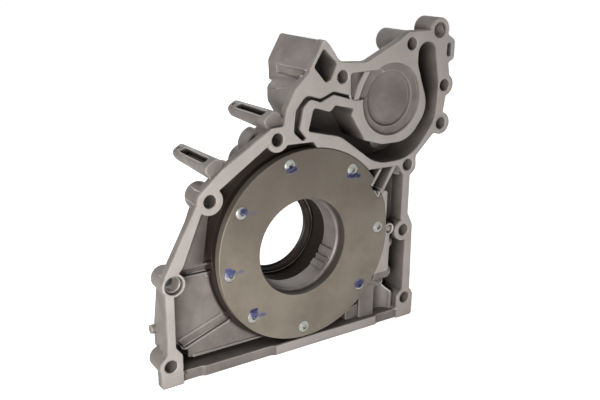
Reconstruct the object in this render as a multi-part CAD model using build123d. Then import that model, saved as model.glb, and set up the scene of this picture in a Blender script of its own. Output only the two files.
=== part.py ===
from build123d import *
import math
import os

# Crank-driven oil pump in the front cover of a large diesel engine.
# Millimetres. X is to the right and Z is up, as seen from the engine side.
# +Y goes forward, away from the engine. The origin is on the crankshaft axis,
# in the gasket plane, which is also the outer face of the pump's cover plate.

# Gerotor set
eccentricity = 5.0
lobe_count = 10
rotor_width = 22.0
tooth_pitch_radius = 68.0
tooth_radius = 14.0
lobe_gap = 0.12
root_gap = 0.3
outer_rotor_rim = 8.7
pocket_gap = 0.09
side_gap = 0.05
rotor_bore_radius = 42.0
rotor_bore_chamfer = 1.6
outer_rotor_chamfer = 0.8
points_per_lobe = 24

# Drive lugs in the bore of the inner rotor
lug_height = 2.6
lug_span = 30.0
lug_angles = (-35.0, 145.0)
lug_slot_width = 2.6
lug_slot_angles = (-4.0, 4.0)
lug_slot_depth = 1.8
lug_end_gap = 3.0

# Cover plate and its screws
plate_margin = 10.0
plate_thickness = 8.0
plate_chamfer = 0.6
plate_gap = 0.3
crank_hole_radius = 45.4
screw_rotor_gap = 4.0
screw_angles = (147.6, 104.3, 53.7, 2.1, -40.7, -92.2, -135.5, -171.9)
screw_radius = 3.0
screw_thread_gap = 0.05
screw_hole_gap = 0.4
screw_head_radius = 5.6
screw_head_land = 0.5
screw_seat = 0.9
screw_dome_height = 1.6
screw_length = 21.0
screw_hole_spare = 2.0
countersink_gap = 0.25
torx_core_radius = 1.75
torx_lobe_radius = 0.62
torx_lobe_circle = 1.85
torx_depth = 2.2
plate_pin_radius = 2.5
plate_pin_length = 14.0
plate_pin_depth = 6.0
plate_pin_gap = 0.05
plate_pin_angles = (75.0, -115.0)

# Casting: walls and depths
flange_thickness = 8.0
wall = 5.0
deep_wall_end = 35.0
shallow_wall_end = 21.5
deep_wall_top = -58.0
shallow_wall_bottom = -12.0
plate_overhang = 1.5
pocket_floor = 9.0
short_column = 24.0
long_column = 40.0
head_room_radius = 8.5
bolt_hole_radius = 5.6
bolt_hole_chamfer = 0.7
base_height = -101.0
rail_top = -91.0
rail_strip_thickness = 7.0
rail_front_start = 29.0
rail_front_end = 43.0
strip_set_back = 2.0
left_end_set_back = 4.0
sump_hole_radius = 3.4
sump_hole_depth = 14.0
sump_hole_count = 6
sump_hole_start = -104.0
sump_hole_spacing = 43.0
sump_hole_y = 36.5

# Front crankshaft seal
seal_lip_radius = 37.6
seal_arm_reach = 3.7
seal_flange_reach = 2.7
seal_case_reach = 6.0
seal_width = 12.0
seal_boss_wall = 8.5
front_bore_ledge = 1.4
seal_boss_end = 59.0
seal_case_wall = 1.2
seal_backing_gap = 0.3
lip_thickness = 1.6
garter_wire_radius = 1.1
dust_ring_thickness = 1.6

# Dowel sleeve round the left bolt
sleeve_outer_radius = 8.0
sleeve_length = 12.0
sleeve_sink = 3.0
sleeve_chamfer = 0.7
dowel_counterbore_gap = 0.02

# Pressure relief valve
valve_x = 96.5
valve_y = 31.0
valve_bore_radius = 6.5
valve_bore_top = -56.0
piston_gap = 0.03
piston_length = 16.0
piston_wall = 1.8
piston_crown = 3.0
piston_travel = 7.0
piston_groove_depth = 0.5
plug_radius = 8.0
plug_length = 9.0
plug_sink = 1.5
plug_hex = 8.0
plug_hex_depth = 5.0
plug_spigot_radius = 2.6
plug_spigot_length = 5.0
washer_thickness = 1.5
spring_wire_radius = 0.8
spring_mean_radius = 3.7
spring_turns = 8
feed_drill_radius = 3.0
spill_port_radius = 4.0
valve_ball_radius = 4.0
valve_ball_depth = 5.0
valve_ball_gap = 1.0
valve_ball_height = -2.0

# Oil ways
kidney_mid_radius = 58.0
kidney_width = 14.0
kidney_depth = 6.0
kidney_start = 19.0
kidney_end = 161.0
delivery_place = (-33.0, 74.0)
delivery_boss_radius = 15.0
delivery_bore_radius = 9.0
delivery_end = 52.0
delivery_bolt_reach = 23.0
delivery_bolt_angle = 15.0
delivery_ear_radius = 8.5
delivery_duct_width = 12.0
delivery_duct_start = 34.0
delivery_duct_end = 43.0
delivery_duct_wall = 5.0
delivery_dome = (-30.0, 92.0, 16.0)
delivery_dome_end = 41.0
suction_x = 10.0
suction_y = 43.0
suction_bore_radius = 10.0
suction_duct_width = 34.0
suction_duct_end = 57.0
gallery_height = 12.0
gallery_y = 37.0
gallery_radius = 4.5
gallery_tube_radius = 9.0
gallery_plug_radius = 8.0
gallery_plug_head_radius = 10.5
gallery_plug_head = 6.0
gallery_plug_length = 11.0

# Coolant side
channel_depth = 34.5
coolant_wall = 5.5
volute_end = 40.0
groove_depth = 7.0
dish_x = 94.5
dish_z = 125.0
dish_radius = 33.0
dish_shelf_depth = 4.0
dish_disc_radius = 25.5
dish_disc_depth = 8.5
dish_recess_depth = 5.0
upper_plate_thickness = 13.5
box_end = 69.0
shoulder_end = 58.0
outlet_radius = 9.5
outlet_start = 50.0
outlet_centre = (20.0, 162.5)
core_plug_radius = 6.5
core_plug_depth = 5.5
core_plug_wall = 1.2
core_plug_place = (106.0, 76.0)

# Holes of the gasket face: x, z, radius and depth of the column round each
bolt_holes = {
    "lower_left": (-131.7, -81.2, 10.0, short_column),
    "left": (-126.3, -8.0, 10.5, short_column),
    "upper_left": (-91.7, 58.1, 12.0, short_column),
    "top_left": (-27.4, 101.8, 11.0, short_column),
    "top_middle": (38.3, 149.7, 11.0, short_column),
    "top_right": (115.2, 173.8, 11.0, long_column),
    "right_upper": (158.3, 132.8, 10.7, long_column),
    "right_middle": (156.8, 96.0, 10.7, long_column),
    "right_inner": (118.0, 60.0, 10.0, long_column),
    "right": (117.0, -6.0, 11.0, short_column),
    "lower_right": (123.5, -80.0, 10.5, short_column),
}
sunk_heads = ("top_left", "top_middle")
ear_x = 148.0
ear_z = 184.5
ear_radius = 11.5
ear_hole_radius = 6.0
insert_outer_radius = 7.0
insert_length = 16.0
lug_hole_x = 161.0
lug_hole_z = 166.0
lug_hole_width = 5.0
lug_hole_height = 12.5

# Posts on the front of the cover
post_end = 74.0
post_width = 14.0
post_depth = 13.0
post_places = ((-84.0, 83.0), (-29.0, 116.5))
post_slope = 33.0
post_root = 4.0
post_draft = 2.5
post_slot_width = 6.0
post_slot_depth = 7.5
post_slot_start = 13.0
post_slot_end = 61.0
post_hole_radius = 1.8
post_hole_from_end = 6.0
post_gusset_length = 30.0

os.makedirs("parts", exist_ok=True)


def outline(*corners):
    """Closed face in the gasket plane. A corner is x, z and its radius."""
    spots = [Vector(x, 0, z) for x, z, _ in corners]
    starts = []
    middles = []
    ends = []
    for index, (_, _, radius) in enumerate(corners):
        corner = spots[index]
        before = (spots[index - 1] - corner).normalized()
        after = (spots[(index + 1) % len(spots)] - corner).normalized()
        half = math.radians(before.get_angle(after)) / 2
        reach = radius / math.tan(half)
        across = (before + after).normalized()
        starts.append(corner + before * reach)
        ends.append(corner + after * reach)
        middles.append(corner + across * (radius / math.sin(half) - radius))
    edges = []
    for index, (_, _, radius) in enumerate(corners):
        edges.append(Edge.make_line(ends[index - 1], starts[index]))
        if radius > 0:
            edges.append(Edge.make_three_point_arc(starts[index], middles[index], ends[index]))
    return Face(Wire(edges))


def slab(face, y_start, y_end):
    """The face, carried forward from one depth to another."""
    return extrude(Pos(0, y_start, 0) * face, amount=y_end - y_start, dir=(0, 1, 0))


def rod(x, z, radius, y_start, y_end):
    """A cylinder that runs forward."""
    length = y_end - y_start
    return Pos(x, (y_start + y_end) / 2, z) * Rot(90, 0, 0) * Cylinder(radius, length)


def cone(x, z, radius_start, radius_end, y_start, y_end):
    """A cone that runs forward."""
    height = y_end - y_start
    return Pos(x, (y_start + y_end) / 2, z) * Rot(-90, 0, 0) * Cone(radius_start, radius_end, height)


def post(x, y, radius, z_low, z_high):
    """An upright cylinder."""
    return Pos(x, y, (z_low + z_high) / 2) * Cylinder(radius, z_high - z_low)


def bar(y, z, radius, x_start, x_end):
    """A cylinder that runs across, along X."""
    return Pos((x_start + x_end) / 2, y, z) * Rot(0, 90, 0) * Cylinder(radius, x_end - x_start)


def block(x_start, x_end, y_start, y_end, z_start, z_end):
    """A box between two corners."""
    centre = Pos((x_start + x_end) / 2, (y_start + y_end) / 2, (z_start + z_end) / 2)
    return centre * Box(x_end - x_start, y_end - y_start, z_end - z_start)


def side_prism(*points):
    """A profile of y, z points, carried across the whole cover."""
    reach = 400.0
    profile = Face(Wire.make_polygon([(-reach / 2, y, z) for y, z in points], close=True))
    return extrude(profile, amount=reach, dir=(1, 0, 0))


def upright_prism(z_low, z_high, *points):
    """A plan of x, y points, carried upward."""
    plan = Face(Wire.make_polygon([(x, y, z_low) for x, y in points], close=True))
    return extrude(plan, amount=z_high - z_low, dir=(0, 0, 1))


def edge_wedge(start, end, *points):
    """A profile of inset, depth points, carried along an edge of the gasket face."""
    along = Vector(end[0] - start[0], 0, end[1] - start[1])
    inward = Vector(0, 1, 0).cross(along.normalized())
    corners = [Vector(start[0], y, start[1]) + inward * inset for inset, y in points]
    profile = Face(Wire.make_polygon(corners, close=True))
    return extrude(profile, amount=along.length, dir=along.normalized())


def on_plate(angle, radius):
    """Place on a circle about the pump's own centre."""
    turn = math.radians(angle)
    return eccentricity + radius * math.cos(turn), radius * math.sin(turn)


def grown(face, amount):
    """The face with its edge moved out."""
    return offset(face, amount=amount, kind=Kind.ARC)


# Depths and radii that follow from the sizes above
rotor_start = plate_thickness + side_gap
rotor_end = rotor_start + rotor_width
pocket_end = rotor_end + side_gap
body_end = pocket_end + pocket_floor
seal_start = seal_boss_end - seal_width
tooth_count = lobe_count + 1
root_radius = tooth_pitch_radius - tooth_radius + 2 * eccentricity + root_gap
outer_rotor_radius = root_radius + outer_rotor_rim
screw_circle_radius = outer_rotor_radius + screw_rotor_gap + screw_radius
plate_radius = screw_circle_radius + plate_margin
body_radius = plate_radius - plate_overhang
seal_arm_radius = seal_lip_radius + seal_arm_reach
seal_inner_flange = seal_arm_radius + seal_flange_reach
seal_radius = seal_inner_flange + seal_case_reach
seal_boss_radius = seal_radius + seal_boss_wall
front_bore_radius = seal_inner_flange - front_bore_ledge
valve_ball_place = (eccentricity + plate_radius + valve_ball_gap + valve_ball_radius, valve_ball_height)
valve_plug_top = base_height + plug_sink + plug_length
gallery_end = 127.0
seal_flange_start = seal_boss_end - dust_ring_thickness - seal_case_wall - 0.4
garter_depth = seal_start + 4.8
garter_circle_radius = seal_arm_radius + garter_wire_radius + 0.1


def flange_outline():
    """Whole edge of the gasket face, without the round bosses."""
    return outline(
        (-141.0, base_height, 3), (-141.0, -80.0, 3), (-134.5, -69.0, 8),
        (-134.5, 0.0, 6), (-104.0, 57.0, 8), (-99.5, 67.0, 6), (-80.0, 84.0, 10),
        (-33.0, 112.5, 5), (-21.5, 113.0, 3), (-19.0, 127.0, 6), (-10.5, 143.0, 6),
        (4.0, 157.5, 6), (17.0, 183.5, 2.5), (23.0, 178.5, 6), (35.0, 162.5, 14),
        (64.0, 161.0, 14), (101.0, 178.5, 8), (111.0, 185.0, 6), (157.0, 185.5, 4),
        (159.5, 180.0, 2), (168.0, 174.5, 5), (168.0, 157.0, 4), (161.5, 154.0, 2),
        (163.5, 143.0, 2), (161.0, 122.0, 2), (159.0, 108.0, 2), (157.0, 86.0, 3),
        (148.0, 87.0, 3), (127.5, 67.5, 5), (128.0, 55.0, 4), (121.5, 49.0, 3),
        (121.5, 11.0, 3), (128.0, -2.0, 6), (129.5, -72.0, 5), (134.0, -82.0, 6),
        (134.0, base_height, 3))


def bell_shape():
    """Edge of the deep lower part of the cover, round the pump."""
    return outline(
        (-134.5, rail_top + 6, 6), (-134.5, 0.0, 6), (-104.0, 57.0, 8), (-99.5, 67.0, 6),
        (-80.0, 84.0, 10), (-33.0, 112.5, 5), (-16.0, 113.0, 3), (20.0, 100.0, 5),
        (112.0, 70.0, 5), (121.5, 50.0, 3), (121.5, 11.0, 3), (128.0, -2.0, 6),
        (129.5, -72.0, 5), (129.5, rail_top + 6, 6), (118.0, base_height, 4),
        (-122.0, base_height, 4))


def bell_hollow():
    """Inner edge of the strips round the pump."""
    return outline(
        (-120.5, rail_top, 3), (-120.5, -73.0, 3), (-126.3, -65.0, 5), (-126.3, -4.0, 5),
        (-117.5, 6.0, 5), (-97.5, 54.0, 4), (-83.5, 66.0, 3), (-38.0, 96.5, 3), (9.0, 95.5, 3),
        (20.0, 80.0, 3), (66.0, 56.0, 3), (72.0, 61.5, 3), (106.0, 60.5, 3),
        (113.0, 50.0, 4), (113.0, 6.0, 4), (119.5, -6.0, 4), (119.5, -73.0, 4),
        (113.0, -80.0, 3), (113.0, rail_top, 3))


def channel_shape():
    """Edge of the coolant port and the spiral channel that it opens into."""
    return outline(
        (3.5, 105.5, 2), (8.5, 125.5, 3), (26.0, 120.0, 4), (31.0, 125.5, 3),
        (51.0, 120.5, 2), (49.0, 114.5, 3), (65.0, 90.0, 4), (85.0, 84.0, 20),
        (117.0, 83.5, 30), (139.0, 113.0, 26), (123.0, 156.0, 26), (124.0, 174.5, 10),
        (142.5, 174.5, 10), (150.5, 135.0, 40), (149.0, 101.0, 30), (122.0, 66.5, 40),
        (80.0, 66.0, 40), (38.0, 97.0, 20))


def groove_shape():
    """Edge of the shallow groove that runs round the port's land."""
    return outline(
        (1.5, 99.5, 1), (-5.5, 108.0, 4), (-2.0, 127.0, 7), (5.0, 133.6, 6),
        (15.5, 129.8, 5), (29.0, 135.2, 4), (47.0, 129.8, 1), (47.0, 132.5, 1),
        (29.0, 137.8, 5), (15.5, 132.5, 5), (0.5, 137.0, 7), (-9.5, 125.0, 8),
        (-11.5, 106.0, 5), (-2.5, 98.0, 1))


def box_shape():
    """Edge of the long box that carries the coolant outlet."""
    return outline(
        (3.6, 158.5, 3), (17.5, 183.0, 3), (24.0, 177.5, 5), (36.0, 161.5, 6),
        (28.0, 140.0, 5), (4.6, 140.0, 2))


def shoulder_foot():
    """Edge of the body under the long box, where it leaves the gasket flange."""
    return outline(
        (-13.0, 112.0, 6), (-14.0, 130.0, 8), (-5.0, 146.0, 5), (8.0, 156.0, 5),
        (32.0, 158.0, 6), (38.0, 138.0, 6), (20.0, 106.0, 6))


def shoulder_head():
    """Edge of the same body at its front end."""
    return outline(
        (4.0, 112.0, 6), (-3.5, 124.0, 8), (-4.0, 137.0, 5), (6.0, 146.0, 4),
        (30.0, 152.0, 6), (36.0, 136.0, 6), (22.0, 110.0, 6))


def diamond_shape():
    """Edge of the coolant outlet passage."""
    return outline(
        (17.5, 175.0, 2), (31.5, 162.0, 3), (26.0, 149.0, 3), (20.5, 146.0, 3),
        (8.0, 160.0, 3))


def recess_shape():
    """Edge of the shallow recess to the left of the dish."""
    return outline(
        (48.0, 128.0, 5), (47.0, 152.0, 3), (86.0, 153.0, 5), (90.0, 128.0, 5))


def rib_shape():
    """The curved rib that crosses the shallow recess."""
    return outline(
        (51.0, 127.0, 1), (55.0, 140.0, 8), (62.5, 152.5, 1), (69.5, 152.5, 1),
        (62.0, 140.0, 10), (57.0, 127.0, 1))


def plate_notch():
    """Notch of the cover plate, round the ribs at its upper right."""
    return outline((73.5, 46.5, 0), (90.0, 72.0, 0), (108.0, 62.0, 0), (83.0, 31.5, 0))


def rib_gap():
    """Dark gap between the two ribs at the upper right of the plate."""
    return outline((77.5, 44.5, 1), (88.5, 61.0, 1), (99.0, 60.0, 1), (84.0, 34.5, 1))


def front_wall_limits(inset):
    """Side view of the bell: deep low down, and shallower near the top."""
    deep = deep_wall_end - inset
    shallow = shallow_wall_end - inset
    low = -200.0
    high = 200.0
    return side_prism(
        (low, low), (deep, low), (deep, deep_wall_top), (shallow, shallow_wall_bottom),
        (shallow, high), (low, high))


def bolt_columns():
    """Bosses round the gasket face's bolt holes."""
    columns = [rod(x, z, radius, 0, depth) for x, z, radius, depth in bolt_holes.values()]
    columns.append(rod(ear_x, ear_z, ear_radius, 0, short_column))
    return columns


def front_post(x, z):
    """One long post on the front of the cover, with its slot and cross hole."""
    frame = Pos(x, 0, z) * Rot(0, -post_slope, 0)
    root = flange_thickness - post_root
    wide = RectangleRounded(post_width + post_draft, post_depth + post_draft, post_depth * 0.4)
    slim = RectangleRounded(post_width, post_depth, post_depth * 0.4)
    shank = loft([Pos(0, root, 0) * Rot(-90, 0, 0) * wide, Pos(0, post_end, 0) * Rot(-90, 0, 0) * slim])
    shank = fillet(shank.faces().sort_by(Axis.Y)[-1].edges(), post_depth * 0.25)
    gusset = side_prism((root, 0), (post_gusset_length, 0), (flange_thickness + 4, -post_depth), (root, -post_depth))
    gusset = gusset & Pos(0, post_gusset_length / 2, 0) * Box(post_width * 0.7, 2 * post_gusset_length, 60.0)
    slot_middle = (post_slot_start + post_slot_end) / 2
    slot_face = Rectangle(post_slot_width, post_slot_end - post_slot_start)
    slot = Pos(0, slot_middle, post_depth / 2 - post_slot_depth) * extrude(slot_face, amount=post_slot_depth + 2)
    slot = fillet(slot.edges().filter_by(Axis.Z), post_slot_width * 0.49)
    hole_place = Pos(0, post_end - post_hole_from_end, post_depth / 2)
    hole = hole_place * Cylinder(post_hole_radius, 2 * post_slot_depth)
    return frame * (shank + gusset), frame * slot, frame * hole


def relief_column():
    """Stepped upright casting on the far side that holds the pressure relief valve."""
    column_top = gallery_height + feed_drill_radius
    steps = ((11.5, base_height, -62.0), (10.0, -62.0, -50.0), (7.5, -50.0, column_top))
    column = [post(valve_x, valve_y, radius, low, high) for radius, low, high in steps]
    backing = block(valve_x - 5.0, valve_x + 5.0, shallow_wall_end - wall, valve_y, -60.0, column_top)
    knob = rod(*valve_ball_place, valve_ball_radius + 1.8, valve_ball_depth - valve_ball_radius, valve_y)
    return column + [backing, knob]


def relief_column_bores():
    """Bore, feed drillings, spill port and plug thread of the relief valve."""
    bore = post(valve_x, valve_y, valve_bore_radius, base_height, valve_bore_top)
    thread = post(valve_x, valve_y, plug_radius, base_height - 1, valve_plug_top + washer_thickness)
    feed = post(valve_x, valve_y, feed_drill_radius, valve_bore_top, gallery_height)
    cross = rod(*valve_ball_place, feed_drill_radius, valve_ball_depth, valve_y)
    ball_hole = rod(*valve_ball_place, valve_ball_radius, -1, valve_ball_depth + valve_ball_radius)
    spill_height = valve_bore_top - piston_travel + 1
    spill = rod(valve_x, spill_height, spill_port_radius, 10.0, valve_y)
    return [bore, thread, feed, cross, ball_hole, spill]


def raised_floor():
    """Raised floor at the lower left, with two rimmed oil channels and a curved band."""
    floor_depth = 15.0
    rim_depth = floor_depth - 1.6
    rim_width = 2.4
    channel_end = floor_depth + 5.0
    edge = outline((-115.0, -72.0, 3), (-127.0, -66.0, 3), (-127.0, 0.0, 3), (-84.0, 0.0, 3),
                   (-30.0, -50.0, 3), (-24.0, -86.5, 2), (-109.0, -86.5, 2), (-109.0, -79.0, 2))
    upper = outline((-118.0, -8.0, 2), (-118.0, -2.4, 2), (-87.5, -2.4, 2), (-87.5, -8.6, 2))
    lower = outline((-112.0, -75.0, 2), (-117.0, -67.5, 2), (-73.0, -52.0, 3), (-68.0, -59.0, 3))
    rims = [slab(grown(channel, rim_width), rim_depth, floor_depth + 1) for channel in (upper, lower)]
    low_rim = slab(outline((-105.5, -86.5, 0), (-105.5, -83.6, 1), (-26.0, -84.0, 1), (-26.0, -86.5, 0)),
                   rim_depth, floor_depth + 1)
    band = Pos(eccentricity, 0, 0) * ring_sector(body_radius + 4.5, body_radius + 7.5, 200.0, 26.0,
                                                 rim_depth, floor_depth + 1)
    ledge = slab(outline((-119.0, 4.0, 2), (-99.0, 54.0, 3), (-91.5, 47.0, 3), (-97.5, 4.0, 2)),
                 4.0, shallow_wall_end)
    channels = [slab(channel, rim_depth - 1, channel_end) for channel in (upper, lower)]
    floor = slab(edge, floor_depth, deep_wall_end) & front_wall_limits(0.5)
    return [floor, ledge, band, low_rim] + rims, channels


def round_ended(y, z, radius, x_start, x_end):
    """A cylinder along X with a ball at its right end."""
    return bar(y, z, radius, x_start, x_end) + Pos(x_end, y, z) * Sphere(radius)


def right_side_forms():
    """Land, ribs, bosses, ridge and corner block between the pump and the right strip."""
    land = slab(outline((70.0, -46.0, 2), (70.0, 40.0, 2), (87.0, 40.0, 3), (96.0, 37.0, 3), (95.0, 6.0, 4),
                        (100.5, -4.0, 4), (101.0, -46.0, 3)), 1.0, shallow_wall_end)
    thin_rib = slab(outline((74.5, 46.0, 0), (86.5, 63.0, 0), (89.0, 62.0, 0), (77.0, 44.0, 0)),
                    1.0, shallow_wall_end)
    thick_rib = slab(outline((83.5, 33.0, 0), (100.5, 62.0, 0), (105.0, 61.0, 0), (87.5, 33.0, 0)),
                     0.6, shallow_wall_end)
    elbow = slab(outline((99.0, 54.0, 1), (102.0, 62.0, 1), (110.0, 58.0, 1), (111.0, 50.0, 1)),
                 3.0, shallow_wall_end)
    boss = round_ended(7.2, -17.5, 6.0, 86.0, 101.5)
    bulb = round_ended(9.0, -48.5, 7.5, 84.0, 101.0)
    ridge_length = 28.0
    ridge_turn = 29.0
    ridge = Pos(79.0, 0, -51.5) * Rot(0, ridge_turn, 0) * round_ended(6.0, 0, 4.0, 0, ridge_length)
    corner = slab(outline((70.0, rail_top, 1), (70.0, -46.0, 2), (84.0, -56.0, 2), (104.0, -66.0, 4),
                          (112.0, -74.0, 5), (112.0, rail_top, 1)), 6.0, deep_wall_end - 1)
    backing = slab(outline((80.0, -70.0, 1), (80.0, -40.0, 1), (104.0, -40.0, 3), (104.0, -70.0, 3)),
                   12.0, shallow_wall_end + 3)
    foot = slab(outline((56.0, rail_top, 0), (56.0, -82.0, 3), (74.0, -76.0, 3), (74.0, rail_top, 0)),
                9.0, deep_wall_end)
    return [land, thin_rib, thick_rib, elbow, boss, bulb, ridge, corner, backing, foot]


def corner_trough():
    """Upright rounded trough in the corner block, into which the relief valve spills."""
    trough = post(98.5, 4.0, 10.5, rail_top, -66.0)
    return trough + Pos(98.5, 4.0, -66.0) * Sphere(10.5)


def front_ribs():
    """Stiffening ribs on the front wall, from the seal boss to the edge."""
    rib_angles = (38.0, 75.0, 118.0, 160.0, 190.0, 218.0, 322.0, 350.0)
    rib_thickness = 5.0
    rib_start = seal_boss_radius - 3.0
    rib_height = 9.0
    ribs = []
    for angle in rib_angles:
        reach = body_radius + 14.0
        profile = Face(Wire.make_polygon(
            [(rib_start, shallow_wall_end - 3, 0), (rib_start, body_end + rib_height, 0),
             (reach, shallow_wall_end + 1, 0), (reach, shallow_wall_end - 3, 0)], close=True))
        rib = extrude(profile, amount=rib_thickness / 2, both=True)
        ribs.append(Rot(0, -angle, 0) * rib)
    return ribs


def kidney(start, size):
    """One kidney-shaped oil port in the floor of the pump's pocket."""
    middle = CenterArc((0, 0), kidney_mid_radius, start, size)
    port = Plane.XZ * SlotArc(middle, kidney_width)
    return slab(Pos(eccentricity / 2, 0, 0) * port.faces()[0], pocket_end - 0.5, pocket_end + kidney_depth)


def two_ears(x, z, reach, radius, angle, y_start, y_end):
    """Two bolt ears, one each side of a port."""
    turn = math.radians(angle)
    dx = reach * math.cos(turn)
    dz = reach * math.sin(turn)
    return [rod(x + side * dx, z + side * dz, radius, y_start, y_end) for side in (-1, 1)]


def outer_wedges():
    """What the sloping outer walls at the left leave away behind the flange."""
    low_left = (-134.5, -86.0)
    left = (-134.5, 0.0)
    upper_left = (-104.0, 57.0)
    left_slope = edge_wedge(left, upper_left, (-9, flange_thickness), (1.5, flange_thickness),
                            (17.0, shallow_wall_end + 1), (-9, shallow_wall_end + 1))
    top_slope = edge_wedge((-106.0, 68.3), (-33.0, 112.5), (-9, flange_thickness), (3.0, flange_thickness),
                           (12.5, shallow_wall_end + 1), (-9, shallow_wall_end + 1))
    low_slope = edge_wedge(low_left, left, (-3, flange_thickness), (0, flange_thickness),
                           (3.0, deep_wall_end + 1), (-3, deep_wall_end + 1))
    return [left_slope, top_slope, low_slope]


def inner_wedge():
    """Sloping inside of the wall between the left and the top bolt."""
    inner = 9.0
    return edge_wedge((-98.0, 73.2), (-33.0, 112.5), (inner, 2.0), (inner + 1.5, 2.0),
                      (inner + 10.0, shallow_wall_end - wall + 1), (inner, shallow_wall_end - wall + 1))


def casting_blank():
    """The gasket flange, the bell round the pump and the coolant forms, hollowed."""
    blank = slab(flange_outline(), 0, flange_thickness)
    bell = slab(bell_shape(), 0, deep_wall_end) & front_wall_limits(0)
    shoulder = loft([Pos(0, 0, 0) * shoulder_foot(), Pos(0, shoulder_end, 0) * shoulder_head()])
    upper_forms = [
        slab(grown(channel_shape(), coolant_wall), 0, volute_end),
        slab(grown(groove_shape(), wall), 0, groove_depth + wall),
        shoulder,
        slab(box_shape(), 0, box_end),
        rod(dish_x, dish_z, dish_radius + coolant_wall, 0, upper_plate_thickness),
        slab(grown(recess_shape(), 3.0), 0, upper_plate_thickness),
    ]
    for form in [bell.cut(*outer_wedges())] + upper_forms:
        blank = blank + form
    hollow = slab(bell_hollow(), -1, deep_wall_end) & front_wall_limits(wall)
    return blank - hollow + inner_wedge()


def base_rail_forms():
    """Strip under the gasket face and the rail that the oil pan bolts to."""
    return [
        block(-120.0, 113.0, 0, rail_strip_thickness, base_height, rail_top),
        block(-118.0, 116.0, rail_front_start, rail_front_end, base_height, rail_top),
    ]


def strip_cuts():
    """What sets the strip back at both sides of its raised middle."""
    low = base_height - 1
    high = rail_top
    left = upright_prism(
        low, high, (-120.3, -1), (-120.3, left_end_set_back), (-102.0, left_end_set_back),
        (-99.0, strip_set_back), (-33.0, strip_set_back), (-26.0, -1))
    right = upright_prism(low, high, (86.0, -1), (90.0, strip_set_back), (113.5, strip_set_back), (113.5, -1))
    return [left, right]


def oil_duct_forms():
    """Outer forms of the suction duct, the delivery port and the side gallery."""
    x, z = delivery_place
    dome_x, dome_z, dome_radius = delivery_dome
    ears = two_ears(x, z, delivery_bolt_reach, delivery_ear_radius, delivery_bolt_angle,
                    shallow_wall_end - 2, delivery_end)
    duct = block(suction_x - suction_duct_width / 2, suction_x + suction_duct_width / 2,
                 pocket_end, suction_duct_end, base_height, -44.0)
    duct = fillet(duct.edges().filter_by(Axis.Z).sort_by(Axis.Y)[2:], 10.0)
    gallery_pad = slab(outline((104.0, 4.0, 3), (104.0, 28.0, 3), (121.5, 28.0, 3), (121.5, 4.0, 3)),
                       shallow_wall_end - wall, gallery_y)
    dome = rod(dome_x, dome_z, dome_radius, shallow_wall_end - 2, delivery_dome_end)
    dome = fillet(dome.edges().sort_by(Axis.Y)[-1], 6.0)
    return ears + [
        duct,
        dome,
        gallery_pad,
        delivery_duct(delivery_duct_width / 2 + delivery_duct_wall, pocket_end, delivery_duct_end + wall),
        rod(x, z, delivery_boss_radius, shallow_wall_end - 2, delivery_end),
        bar(gallery_y, gallery_height, gallery_tube_radius, 60.0, gallery_end),
        bar(gallery_y, gallery_height, gallery_plug_head_radius + 1.5, gallery_end - 10.0, gallery_end),
    ]


def delivery_duct(half_width, y_start, y_end):
    """Straight duct from the pressure kidney out to the delivery port."""
    x, z = delivery_place
    turn = math.degrees(math.atan2(z, x - eccentricity / 2))
    reach = math.hypot(x - eccentricity / 2, z)
    straight = block(kidney_mid_radius, reach, y_start, y_end, -half_width, half_width)
    return Pos(eccentricity / 2, 0, 0) * Rot(0, -turn, 0) * straight


def casting_forms():
    """All that stands up from the hollowed blank."""
    floors, _ = raised_floor()
    posts = [front_post(x, z)[0] for x, z in post_places]
    pump_body = [
        rod(eccentricity, 0, body_radius, plate_thickness, body_end),
        rod(0, 0, seal_boss_radius, pocket_end, seal_boss_end),
    ]
    side_lug = bar(30.0, -58.0, 4.0, -137.0, -127.0)
    return (pump_body + base_rail_forms() + oil_duct_forms() + bolt_columns() + floors + posts
            + right_side_forms() + relief_column() + front_ribs() + [side_lug])


def lug_slot():
    """Rounded slot in the lug at the right of the gasket face."""
    reach = (lug_hole_height - lug_hole_width) / 2
    radius = lug_hole_width / 2
    end = flange_thickness + 1
    middle = block(lug_hole_x - radius, lug_hole_x + radius, -1, end, lug_hole_z - reach, lug_hole_z + reach)
    return middle + rod(lug_hole_x, lug_hole_z - reach, radius, -1, end) + rod(
        lug_hole_x, lug_hole_z + reach, radius, -1, end)


def coolant_cuts():
    """Port, spiral channel, dish, shallow recess and outlet passage."""
    outlet_x, outlet_z = outlet_centre
    recess = slab(recess_shape(), -1, dish_recess_depth) - slab(rib_shape(), 1.0, dish_recess_depth + 1)
    recess -= upright_prism(100.0, 170.0, (40.0, 0.4), (60.0, dish_recess_depth), (60.0, 9.0), (40.0, 9.0))
    side_x = 4.1
    side_groove = block(side_x - 4, side_x + 2.2, 5.0, 54.0, 148.5, 156.5)
    side_groove = fillet(side_groove.faces().sort_by(Axis.X)[-1].edges(), 2.1)
    return [
        slab(channel_shape(), -1, channel_depth),
        slab(groove_shape(), -1, groove_depth),
        rod(dish_x, dish_z, dish_radius, -1, dish_shelf_depth),
        rod(dish_x, dish_z, dish_disc_radius, -1, dish_disc_depth),
        recess,
        side_groove,
        slab(diamond_shape(), -1, outlet_start),
        rod(outlet_x, outlet_z, outlet_radius, outlet_start - 0.5, box_end + 1),
        rod(*core_plug_place, core_plug_radius, channel_depth - 1, volute_end + 1),
    ]


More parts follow.
